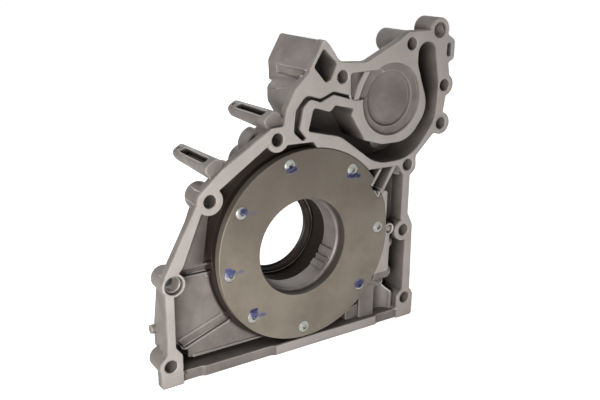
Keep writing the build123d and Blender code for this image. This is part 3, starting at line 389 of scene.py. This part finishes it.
def shown_rays(tree):
    """1 for what the camera, shiny metal and glass see, and 0 for the plain light on things."""
    path = tree.nodes.new("ShaderNodeLightPath").outputs
    seen = math_node(tree, "MAXIMUM", path["Is Camera Ray"], path["Is Glossy Ray"])
    return math_node(tree, "MAXIMUM", seen, path["Is Transmission Ray"])


def add_world():
    """White behind the object, and a plain even light on it."""
    world = bpy.data.worlds.new("studio")
    bpy.context.scene.world = world
    world.use_nodes = True
    tree = world.node_tree
    tree.nodes.clear()
    mix = tree.nodes.new("ShaderNodeMixShader")
    feed(tree, mix.inputs["Fac"], shown_rays(tree))
    for index, strength in ((1, GLOW_STRENGTH), (2, SEEN_STRENGTH)):
        light = tree.nodes.new("ShaderNodeBackground")
        feed(tree, light.inputs["Color"], WHITE)
        feed(tree, light.inputs["Strength"], strength)
        feed(tree, mix.inputs[index], light.outputs[0])
    out = tree.nodes.new("ShaderNodeOutputWorld")
    feed(tree, out.inputs["Surface"], mix.outputs[0])


def add_floor():
    """Pale floor that runs out to the white background and keeps the object's shadow."""
    bpy.ops.mesh.primitive_circle_add(vertices=96, radius=FLOOR_RADIUS, fill_type="NGON",
                                      location=(0, 0, FLOOR_HEIGHT * MM))
    floor = bpy.context.active_object
    floor.name = "studio_floor"
    material = bpy.data.materials.new("pale_floor")
    material.use_nodes = True
    tree = material.node_tree
    tree.nodes.clear()
    matt = tree.nodes.new("ShaderNodeBsdfDiffuse")
    feed(tree, matt.inputs["Color"], FLOOR_GREY)
    white = tree.nodes.new("ShaderNodeEmission")
    feed(tree, white.inputs["Color"], WHITE)
    feed(tree, white.inputs["Strength"], times(tree, shown_rays(tree), FLOOR_LIFT))
    both = tree.nodes.new("ShaderNodeAddShader")
    feed(tree, both.inputs[0], matt.outputs[0])
    feed(tree, both.inputs[1], white.outputs[0])
    out = tree.nodes.new("ShaderNodeOutputMaterial")
    feed(tree, out.inputs["Surface"], both.outputs[0])
    floor.data.materials.append(material)


# Shared effects

def wear_and_lighting_masks_group():
    """Masks of outward edges, for wear and painted highlights, of hollows, for dirt and painted
    shade, and of deep places, for painted shade, each with its own reach.
    """
    group, given, result = new_group(
        "wear_and_lighting_masks", {"Width": 1 * MM, "Depth": 20 * MM, "Reach": 60 * MM},
        ("Edge", "Hollow", "Deep"))
    for reach, mask, samples in (("Width", "Edge", 10), ("Depth", "Hollow", 8),
                                 ("Reach", "Deep", 12)):
        shadow = group.nodes.new("ShaderNodeAmbientOcclusion")
        shadow.samples = samples
        shadow.inside = mask == "Edge"
        feed(group, shadow.inputs["Distance"], given[reach])
        covered = one_minus(group, shadow.outputs["AO"], clamp=True)
        if mask == "Edge":
            covered = ramp_between(group, covered, low=0.14, high=0.5)
        feed(group, result[mask], covered)
    return group


def cast_skin_group():
    """Fine grain and broad mottling of a casting's skin."""
    group, given, result = new_group(
        "cast_skin", {"Vector": None, "Grain": 900.0, "Mottle": 28.0}, ("Height", "Patches"))
    grain = noise(group, given["Vector"], given["Grain"], detail=3, roughness=0.5)
    pits = group.nodes.new("ShaderNodeTexVoronoi")
    pits.feature = "SMOOTH_F1"
    feed(group, pits.inputs["Vector"], given["Vector"])
    feed(group, pits.inputs["Scale"], times(group, given["Grain"], 0.35))
    height = math_node(group, "ADD", grain, times(group, pits.outputs["Distance"], 0.6))
    mottle = noise(group, given["Vector"], given["Mottle"], detail=6, roughness=0.62)
    feed(group, result["Height"], height)
    feed(group, result["Patches"], ramp_between(group, mottle, low=0.32, high=0.68))
    return group


def paint_dabs_group(dabs):
    """Mask of the marking paint, dabbed by hand at screws and joints."""
    group, given, result = new_group("marking_paint", {"Vector": None}, ("Paint",))
    wander = noise(group, given["Vector"], scale=420, detail=3, roughness=0.5)
    ragged = times(group, math_node(group, "SUBTRACT", wander, 0.5), 1.1)
    total = None
    for x, y, z, half_x, half_y, half_z, turn, strength in dabs:
        place = group.nodes.new("ShaderNodeMapping")
        place.vector_type = "TEXTURE"
        place.inputs["Location"].default_value = (x * MM, y * MM, z * MM)
        place.inputs["Rotation"].default_value = (0, math.radians(turn), 0)
        place.inputs["Scale"].default_value = (half_x * MM, half_y * MM, half_z * MM)
        feed(group, place.inputs["Vector"], given["Vector"])
        reach = group.nodes.new("ShaderNodeVectorMath")
        reach.operation = "LENGTH"
        feed(group, reach.inputs[0], place.outputs["Vector"])
        uneven = math_node(group, "ADD", reach.outputs["Value"], ragged)
        dab = one_minus(group, ramp_between(group, uneven, low=0.6, high=1.1), clamp=True)
        dab = times(group, dab, strength)
        total = dab if total is None else math_node(group, "MAXIMUM", total, dab)
    feed(group, result["Paint"], total)
    return group


def bored_holes_group():
    """Mask of the drilled walls of the bolt holes, and rings along them."""
    group, given, result = new_group("bored_holes", {"Vector": None}, ("Wall", "Rings"))
    axes = axes_of(group, given["Vector"])
    nearest = None
    for x, z in BOLT_HOLES:
        reach = math_node(group, "SQRT", squared_distance(group, axes, x, z))
        past = math_node(group, "SUBTRACT", reach, BOLT_HOLE_RADIUS * MM)
        nearest = past if nearest is None else math_node(group, "MINIMUM", nearest, past)
    feed(group, result["Wall"], math_node(group, "LESS_THAN", nearest, BOLT_HOLE_MARGIN * MM))
    wave = math_node(group, "SINE", times(group, axes["Y"], 2 * math.pi / (RING_PITCH * MM)))
    feed(group, result["Rings"], math_node(group, "ADD", times(group, wave, 0.5), 0.5))
    return group


def dark_places_group():
    """Mask of painted shade in the gap round the cover plate and on the wall to its upper left."""
    group, given, result = new_group("dark_places", {"Vector": None}, ("Dark",))
    axes = axes_of(group, given["Vector"])
    reach = math_node(group, "SQRT", squared_distance(group, axes, *PLATE_CENTRE))
    behind = ramp_mm(group, axes["Y"], DARK_FROM_DEPTH)
    inside = one_minus(group, ramp_mm(group, axes["Y"], DARK_TO_DEPTH))
    leftward = one_minus(group, ramp_mm(group, axes["X"], DARK_TO_RIGHT))
    above = ramp_mm(group, axes["Z"], WALL_FROM_HEIGHT)
    gap = one_minus(group, ramp_mm(group, reach, GAP_REACH))
    wall = one_minus(group, ramp_mm(group, reach, WALL_REACH))
    wall = times(group, times(group, wall, above), 0.9)
    both = math_node(group, "MAXIMUM", gap, wall)
    dark = times(group, times(group, both, times(group, behind, inside)), leftward)
    feed(group, result["Dark"], times(group, dark, 0.88))
    return group


def machined_mask(tree, coordinates):
    """1 on the faces that were milled flat towards the engine."""
    geometry = tree.nodes.new("ShaderNodeNewGeometry")
    facing = axes_of(tree, geometry.outputs["True Normal"])
    toward = math_node(tree, "LESS_THAN", facing["Y"], MILLED_FACING)
    near = math_node(tree, "LESS_THAN", axes_of(tree, coordinates)["Y"], MILLED_DEPTH * MM)
    return times(tree, toward, near)


def inside_bore(tree, coordinates, radius):
    """1 closer to the crankshaft axis than the radius, in millimetres."""
    reach = squared_distance(tree, axes_of(tree, coordinates), 0, 0)
    return math_node(tree, "LESS_THAN", reach, (radius * MM) ** 2)


def painted(tree, coordinates, paint, colour):
    """Colour with marking paint on it, pale where it is thin, and the share left unpainted."""
    dabs = place_group(tree, paint, Vector=coordinates)["Paint"]
    thick = ramp_between(tree, dabs, low=0.45, high=0.95)
    blue = mix_colour(tree, thick, THIN_BLUE, MARKING_BLUE)
    covered = math_node(tree, "MULTIPLY", dabs, 1.7, clamp=True)
    return mix_colour(tree, covered, colour, blue), one_minus(tree, covered)


# Materials

def cast_aluminium(edge_and_hollow_masks, skin, paint):
    """Casting: matt, warm grey skin, brighter milled faces, worn edges with painted highlights,
    dirt and painted shade in hollows, painted shade in deep places, in the gap round the plate and
    in the front bore.
    """
    material, tree, shader, coordinates = new_material("cast_aluminium")
    edges = place_group(tree, edge_and_hollow_masks, Width=2.0 * MM, Depth=12 * MM, Reach=60 * MM)
    drilled = place_group(tree, bored_holes_group(), Vector=coordinates)
    surface = place_group(tree, skin, Vector=coordinates, Grain=1300.0, Mottle=34.0)
    dark = place_group(tree, dark_places_group(), Vector=coordinates)["Dark"]
    # Painted shade: the front bore of the casting near black
    bore_shade = times(tree, inside_bore(tree, coordinates, FRONT_BORE_RADIUS), 0.95)
    milled = machined_mask(tree, coordinates)
    as_cast = mix_colour(tree, surface["Patches"], *CAST_SKIN)
    as_milled = mix_colour(tree, surface["Patches"], *CAST_MILLED)
    colour = mix_colour(tree, milled, as_cast, as_milled)
    # Dirt and painted shade: the casting darker in its hollows
    dirt_and_shade = ramp_between(tree, edges["Hollow"], low=0.35, high=0.95)
    colour = tinted(tree, colour, dirt_and_shade, share=0.34, tint=CAST_DIRT_AND_SHADE)
    shade = ramp_between(tree, edges["Deep"], low=0.38, high=0.85)
    colour = tinted(tree, colour, shade, share=0.86, tint=CAST_SHADE)
    # Drilling rings, darkened with painted shade, on the walls of the bolt holes
    rings_and_shade = mix_colour(tree, drilled["Rings"], *CAST_RINGS_AND_SHADE)
    colour = tinted(tree, colour, drilled["Wall"], share=0.85, tint=rings_and_shade)
    # Worn edges with a painted highlight
    colour = tinted(tree, colour, edges["Edge"], share=0.75, tint=CAST_EDGE_WEAR_AND_SHEEN)
    # Painted shade in the gap round the plate and on the wall to its upper left
    colour = mix_colour(tree, dark, colour, PAINTED_GAP_SHADE)
    # Painted shade in the front bore
    colour = mix_colour(tree, bore_shade, colour, PAINTED_BORE_SHADE)
    colour, _ = painted(tree, coordinates, paint, colour)
    feed(tree, shader.inputs["Base Color"], colour)
    feed(tree, shader.inputs["Metallic"], times(tree, one_minus(tree, bore_shade), 0.12))
    # No specular shine where shade is painted
    unshaded = one_minus(tree, math_node(tree, "MAXIMUM", bore_shade, dark))
    feed(tree, shader.inputs["Specular IOR Level"], times(tree, unshaded, 0.3))
    rough = math_node(tree, "SUBTRACT", 0.60, times(tree, milled, 0.14))
    rough = math_node(tree, "SUBTRACT", rough, times(tree, edges["Edge"], 0.12))
    feed(tree, shader.inputs["Roughness"], rough)
    relief = times(tree, surface["Height"], one_minus(tree, times(tree, milled, 0.85)))
    add_bump(tree, shader, relief, strength=0.45, distance=0.14 * MM)
    return material


def plate_steel(edge_and_hollow_masks, paint):
    """Ground steel plate: olive brown cast, cloudy, with faint grinding marks."""
    material, tree, shader, coordinates = new_material("plate_steel")
    edges = place_group(tree, edge_and_hollow_masks, Width=0.5 * MM, Depth=10 * MM)
    cloud = noise(tree, coordinates, scale=17.0, detail=5.0, roughness=0.6)
    cloud = ramp_between(tree, cloud, low=0.3, high=0.7)
    stretch = tree.nodes.new("ShaderNodeMapping")
    stretch.inputs["Rotation"].default_value = (0, math.radians(MARKS_TURN), 0)
    stretch.inputs["Scale"].default_value = (60, 60, 1400)
    feed(tree, stretch.inputs["Vector"], coordinates)
    marks = noise(tree, stretch.outputs["Vector"], scale=1.0, detail=2.0, roughness=0.5)
    marks = ramp_between(tree, marks, low=0.25, high=0.75)
    # Painted shade: the plate darker towards its top
    upper_shade = ramp_mm(tree, axes_of(tree, coordinates)["Z"], PLATE_DARKENS)
    # Painted shade on the wall of the plate's hole
    hole = inside_bore(tree, coordinates, CRANK_HOLE_RADIUS)
    colour = mix_colour(tree, cloud, *PLATE_CLOUDS)
    colour = tinted(tree, colour, marks, share=0.07, tint=PLATE_MARKS)
    colour = tinted(tree, colour, upper_shade, share=0.62, tint=PLATE_UPPER_SHADE)
    colour = tinted(tree, colour, hole, share=0.85, tint=PLATE_HOLE_SHADE)
    # Worn edges with a painted highlight
    colour = tinted(tree, colour, edges["Edge"], share=0.6, tint=PLATE_EDGE_WEAR_AND_SHEEN)
    colour, bare = painted(tree, coordinates, paint, colour)
    feed(tree, shader.inputs["Base Color"], colour)
    feed(tree, shader.inputs["Metallic"], times(tree, bare, 0.18))
    feed(tree, shader.inputs["Specular IOR Level"], 0.3)
    rough = math_node(tree, "ADD", 0.42, times(tree, cloud, 0.12))
    feed(tree, shader.inputs["Roughness"], rough)
    add_bump(tree, shader, marks, strength=0.05, distance=0.02 * MM)
    return material


def zinc_screw(edge_and_hollow_masks, paint):
    """Zinc-plated screw, with marking paint on most heads."""
    material, tree, shader, coordinates = new_material("zinc_screw")
    edges = place_group(tree, edge_and_hollow_masks, Width=0.3 * MM, Depth=2.5 * MM)
    spots = ramp_between(tree, noise(tree, coordinates, scale=500.0), low=0.35, high=0.7)
    colour = mix_colour(tree, spots, *ZINC)
    # Dirt and painted shade in the screw's hollows
    dirt_and_shade = ramp_between(tree, edges["Hollow"], low=0.35, high=0.9)
    colour = tinted(tree, colour, dirt_and_shade, share=0.8, tint=ZINC_DIRT_AND_SHADE)
    colour, bare = painted(tree, coordinates, paint, colour)
    feed(tree, shader.inputs["Base Color"], colour)
    feed(tree, shader.inputs["Metallic"], times(tree, bare, 0.7))
    feed(tree, shader.inputs["Roughness"], 0.32)
    return material


def machined_metal(name, edge_and_hollow_masks, dark, light, roughness, dirt_and_shade_reach, dirt_and_shade_share, metallic):
    """Turned or ground metal with dirt and painted shade in hollows, and worn edges with painted
    highlights.
    """
    material, tree, shader, coordinates = new_material(name)
    edges = place_group(tree, edge_and_hollow_masks, Width=0.4 * MM, Depth=dirt_and_shade_reach * MM)
    cloud = noise(tree, coordinates, scale=60.0, detail=5.0)
    cloud = ramp_between(tree, cloud, low=0.3, high=0.7)
    colour = mix_colour(tree, cloud, dark, light)
    # Dirt and painted shade in hollows
    dirt_and_shade = ramp_between(tree, edges["Hollow"], low=0.3, high=0.95)
    colour = tinted(tree, colour, dirt_and_shade, dirt_and_shade_share, METAL_DIRT_AND_SHADE)
    # Worn edges with a painted highlight
    edge_wear_and_sheen = tuple(min(1, part * EDGE_WEAR_AND_SHEEN) for part in light)
    colour = tinted(tree, colour, edges["Edge"], share=0.5, tint=edge_wear_and_sheen)
    feed(tree, shader.inputs["Base Color"], colour)
    feed(tree, shader.inputs["Metallic"], metallic)
    rough = math_node(tree, "ADD", roughness - 0.05, times(tree, cloud, 0.1))
    feed(tree, shader.inputs["Roughness"], rough)
    grain = noise(tree, coordinates, scale=1500.0, detail=2.0)
    add_bump(tree, shader, grain, strength=0.08, distance=0.03 * MM)
    return material


def seal_rubber(skin):
    """Brown-black rubber of the crankshaft seal, slightly oily."""
    material, tree, shader, coordinates = new_material("seal_rubber")
    surface = place_group(tree, skin, Vector=coordinates, Grain=900.0, Mottle=60.0)
    colour = mix_colour(tree, surface["Patches"], *RUBBER)
    feed(tree, shader.inputs["Base Color"], colour)
    feed(tree, shader.inputs["Roughness"], 0.42)
    feed(tree, shader.inputs["Specular IOR Level"], 0.2)
    add_bump(tree, shader, surface["Height"], strength=0.1, distance=0.05 * MM)
    return material


def screw_paint_places():
    """The dabs at the cover screws: place, half sizes, turn and strength."""
    dabs = []
    for angle, marks in SCREW_DABS.items():
        x = PLATE_CENTRE[0] + SCREW_CIRCLE * math.cos(math.radians(angle))
        z = PLATE_CENTRE[1] + SCREW_CIRCLE * math.sin(math.radians(angle))
        for dx, dz, half_x, half_z, turn, strength in marks:
            dabs.append((x + dx, SCREW_DAB_DEPTH, z + dz,
                         half_x, SCREW_DAB_HALF_DEPTH, half_z, turn, strength))
    return dabs


# Pieces

def pick_only(piece):
    """Makes the piece the only selected object, and the active one."""
    bpy.ops.object.select_all(action="DESELECT")
    bpy.context.view_layer.objects.active = piece
    piece.select_set(True)


def object_from(mesh, name):
    """New object from the mesh, picked."""
    data = bpy.data.meshes.new(name)
    mesh.to_mesh(data)
    piece = bpy.data.objects.new(name, data)
    bpy.context.collection.objects.link(piece)
    pick_only(piece)
    return piece


def give_finish(piece, material):
    """Gives the piece this material alone."""
    piece.data.materials.clear()
    piece.data.materials.append(material)


def mark_sharp_edges(mesh):
    """Marks the edges that get rounded off."""
    mark = mesh.edges.layers.float.new("bevel_weight_edge")
    for edge in mesh.edges:
        edge[mark] = float(edge.calc_face_angle(0) > math.radians(EDGE_ANGLE))
    return mark


def rounded_off(mesh, name, width):
    """New object from the mesh, with its marked edges rounded off."""
    piece = object_from(mesh, name)
    round_off = piece.modifiers.new("round_off", "BEVEL")
    round_off.width = width
    round_off.segments = 2
    round_off.limit_method = "WEIGHT"
    round_off.use_clamp_overlap = False
    round_off.loop_slide = False
    round_off.miter_outer = "MITER_ARC"
    bpy.ops.object.modifier_apply(modifier="round_off")
    return piece


def torn_places(piece, surface, width):
    """Places where rounding pulled the surface away from the piece's own."""
    def distance(place):
        return surface.find_nearest(place)[3]

    shape = bmesh.new()
    shape.from_mesh(piece.data)
    bmesh.ops.triangulate(shape, faces=shape.faces)
    places = [vert.co.copy() for vert in shape.verts
              if distance(vert.co) > CORNER_LIMIT * width]
    for face in shape.faces:
        if distance(face.calc_center_median()) > FACE_LIMIT * width:
            places += [vert.co.copy() for vert in face.verts
                       if distance(vert.co) > TORN_CORNER * width]
    shape.free()
    return places


def leave_sharp(mesh, mark, places, reach):
    """Takes the mark off the edges near these places."""
    for edge in mesh.edges:
        if edge[mark]:
            first, second = (vert.co for vert in edge.verts)
            spots = (first, second, (first + second) / 2)
            if any((spot - place).length < reach for place in places for spot in spots):
                edge[mark] = 0.0


def keep_in_place(piece, surface, limit, bound_box):
    """Puts stray corners back on the old surface, and keeps all of them in the old box."""
    corners = [Vector(corner) for corner in bound_box]
    lows, highs = ([pick(corner[axis] for corner in corners) for axis in range(3)]
                   for pick in (min, max))
    for vert in piece.data.vertices:
        place, _, _, distance = surface.find_nearest(vert.co)
        if distance > limit:
            vert.co = place
        vert.co = [min(max(value, low), high)
                   for value, low, high in zip(vert.co, lows, highs)]


def four_sided(corners, y_start, y_end):
    """Block between two depths, with four corners given in x and z, all in millimetres."""
    bpy.ops.mesh.primitive_cube_add(size=2, location=(0, 0, 0))
    piece = bpy.context.active_object
    ring = dict(zip(((-1, -1), (1, -1), (1, 1), (-1, 1)), corners))
    for vert in piece.data.vertices:
        x, z = ring[round(vert.co.x), round(vert.co.z)]
        y = y_end if vert.co.y > 0 else y_start
        vert.co = (x * MM, y * MM, z * MM)
    return piece


def reshape(mesh, steps):
    """Mesh with blocks joined to it or cut out of it, in their order."""
    piece = object_from(mesh, "reshaped")
    for operation, corners, y_start, y_end in steps:
        tool = four_sided(corners, y_start, y_end)
        pick_only(piece)
        change = piece.modifiers.new("change", "BOOLEAN")
        change.operation = operation
        change.solver = "EXACT"
        change.object = tool
        bpy.ops.object.modifier_apply(modifier="change")
        bpy.data.objects.remove(tool)
    shaped = bmesh.new()
    shaped.from_mesh(piece.data)
    bpy.data.objects.remove(piece)
    bmesh.ops.triangulate(shaped, faces=shaped.faces)
    bmesh.ops.remove_doubles(shaped, verts=shaped.verts, dist=MERGE_DISTANCE)
    mesh.free()
    return shaped


def rounded_copy(node, body, name, width, material, steps=()):
    """Copy of a CAD node, reshaped and with its edges rounded, which stands for the node."""
    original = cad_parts[node]
    mesh = bmesh.new()
    mesh.from_mesh(original.data)
    bmesh.ops.remove_doubles(mesh, verts=mesh.verts, dist=MERGE_DISTANCE)
    if steps:
        mesh = reshape(mesh, steps)
    surface = BVHTree.FromBMesh(mesh)
    mark = mark_sharp_edges(mesh)
    piece = rounded_off(mesh, name, width * MM)
    places = torn_places(piece, surface, width * MM)
    if places:
        bpy.data.objects.remove(piece)
        leave_sharp(mesh, mark, places, SHARP_REACH * width * MM)
        piece = rounded_off(mesh, name, width * MM)
    mesh.free()
    bpy.ops.object.shade_smooth_by_angle(angle=math.radians(SMOOTH_ANGLE))
    keep_in_place(piece, surface, SNAP_LIMIT * width * MM, original.bound_box)
    flatten = piece.modifiers.new("flat_faces", "WEIGHTED_NORMAL")
    flatten.keep_sharp = True
    bpy.ops.object.modifier_apply(modifier="flat_faces")
    give_finish(piece, material)
    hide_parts(node)
    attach(piece, body)


def bush_wall():
    """Plain wall of the ear's bush, standing along z with its foot at the start."""
    outer, inner = BUSH_RADII
    start, end = BUSH_ENDS
    bpy.ops.mesh.primitive_cylinder_add(
        vertices=BUSH_SIDES, radius=outer * MM, depth=(end - start) * MM,
        end_fill_type="NOTHING", location=(0, 0, 0))
    bush = bpy.context.active_object
    wall = bush.modifiers.new("wall", "SOLIDIFY")
    wall.thickness = (outer - inner) * MM
    wall.offset = -1
    bpy.ops.object.modifier_apply(modifier="wall")
    bush.data.transform(Matrix.Translation((0, 0, (start + end) / 2 * MM)))
    return bush


def bush_thread():
    """Ridge of the thread, wound from four corners and closed at both ends."""
    foot_radius = BUSH_RADII[1] + THREAD_SUNK
    start, end = BUSH_ENDS
    bpy.ops.mesh.primitive_circle_add(vertices=4, radius=MM, fill_type="NOTHING",
                                      location=(0, 0, 0))
    ridge = bpy.context.active_object
    section = ((foot_radius, -THREAD_FOOT), (foot_radius, THREAD_FOOT),
               (THREAD_CORE, THREAD_CREST), (THREAD_CORE, -THREAD_CREST))
    for vert, (radius, height) in zip(ridge.data.vertices, section):
        vert.co = (radius * MM, 0, (start + THREAD_PITCH + height) * MM)
    wind = ridge.modifiers.new("wind", "SCREW")
    wind.screw_offset = THREAD_PITCH * MM
    wind.iterations = int((end - start) / THREAD_PITCH) - 2
    wind.steps = THREAD_STEPS
    wind.render_steps = THREAD_STEPS
    wind.use_merge_vertices = False
    bpy.ops.object.modifier_apply(modifier="wind")
    shape = bmesh.new()
    shape.from_mesh(ridge.data)
    open_edges = [edge for edge in shape.edges if edge.is_boundary]
    bmesh.ops.holes_fill(shape, edges=open_edges, sides=4)
    bmesh.ops.recalc_face_normals(shape, faces=shape.faces)
    shape.to_mesh(ridge.data)
    shape.free()
    return ridge


def threaded_bush(material):
    """Steel bush of the top right ear, with its inner thread."""
    bush = bush_wall()
    ridge = bush_thread()
    pick_only(bush)
    ridge.select_set(True)
    bpy.ops.object.join()
    x, z = BUSH_PLACE
    upright = Matrix.Rotation(math.radians(-90), 4, "X")
    bush.data.transform(Matrix.Translation((x * MM, 0, z * MM)) @ upright)
    bush.name = "ear_thread"
    bpy.ops.object.shade_smooth_by_angle(angle=math.radians(SMOOTH_ANGLE))
    give_finish(bush, material)
    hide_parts("ear_thread_insert")
    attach(bush, "cover")


bpy.context.scene.view_settings.view_transform = "Standard"
add_camera()
add_world()
add_floor()
for lamp_name, lamp_values in LAMPS.items():
    add_soft_light(lamp_name, *lamp_values)

wear_and_lighting = wear_and_lighting_masks_group()
cast_skin = cast_skin_group()
screw_paint = paint_dabs_group(screw_paint_places())
post_paint = paint_dabs_group(POST_DABS)

materials = {
    "cast_aluminium": cast_aluminium(wear_and_lighting, cast_skin, post_paint),
    "plate_steel": plate_steel(wear_and_lighting, screw_paint),
    "zinc_screw": zinc_screw(wear_and_lighting, screw_paint),
    "seal_rubber": seal_rubber(cast_skin),
}
for metal_name, metal_values in METALS.items():
    materials[metal_name] = machined_metal(metal_name, wear_and_lighting, *metal_values)

rounded_copy("housing", "cover", "cover_casting", 0.7,
             materials["cast_aluminium"], TROUGHS)
threaded_bush(materials["thread_steel"])
rounded_copy("cover_plate", "cover", "pump_cover_plate", 0.25,
             materials["plate_steel"])
rounded_copy("inner_rotor", "inner_rotor", "inner_rotor_ground", 0.25,
             materials["rotor_steel"])
for node_name, material_name in FINISHES.items():
    give_finish(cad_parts[node_name], materials[material_name])
